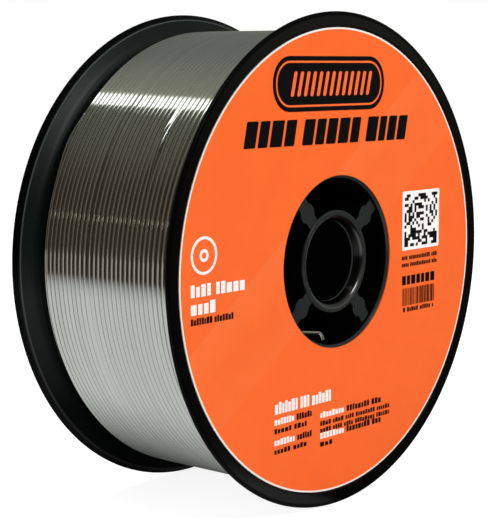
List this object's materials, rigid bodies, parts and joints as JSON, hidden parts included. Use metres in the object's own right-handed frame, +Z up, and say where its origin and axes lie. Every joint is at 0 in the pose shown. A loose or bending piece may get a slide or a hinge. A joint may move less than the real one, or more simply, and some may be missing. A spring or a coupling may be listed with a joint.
{
  "type": "mig welding wire spool",
  "caption": "Small plastic spool of welding wire with a round label, a ribbed hub and a central bore for a spindle.",
  "frame": {"origin": "centre of the spool: on the bore's axis, midway between the two outer faces", "axes": "+Y along the bore's axis, away from the labelled face; +Z up as the spool stands on its rims; +X to the right as seen from the labelled face"},
  "size_m": [0.1016, 0.043, 0.1016],
  "materials": {
    "spool_plastic": "moulded black plastic, smooth with a soft gloss",
    "welding_wire": "bright drawn wire wound in even turns",
    "label_card": "orange printed label with a satin face"
  },
  "bodies": {
    "root": {"spool": "spool_plastic", "wire_coil": "welding_wire", "label": "label_card"}
  },
  "joints": []
}
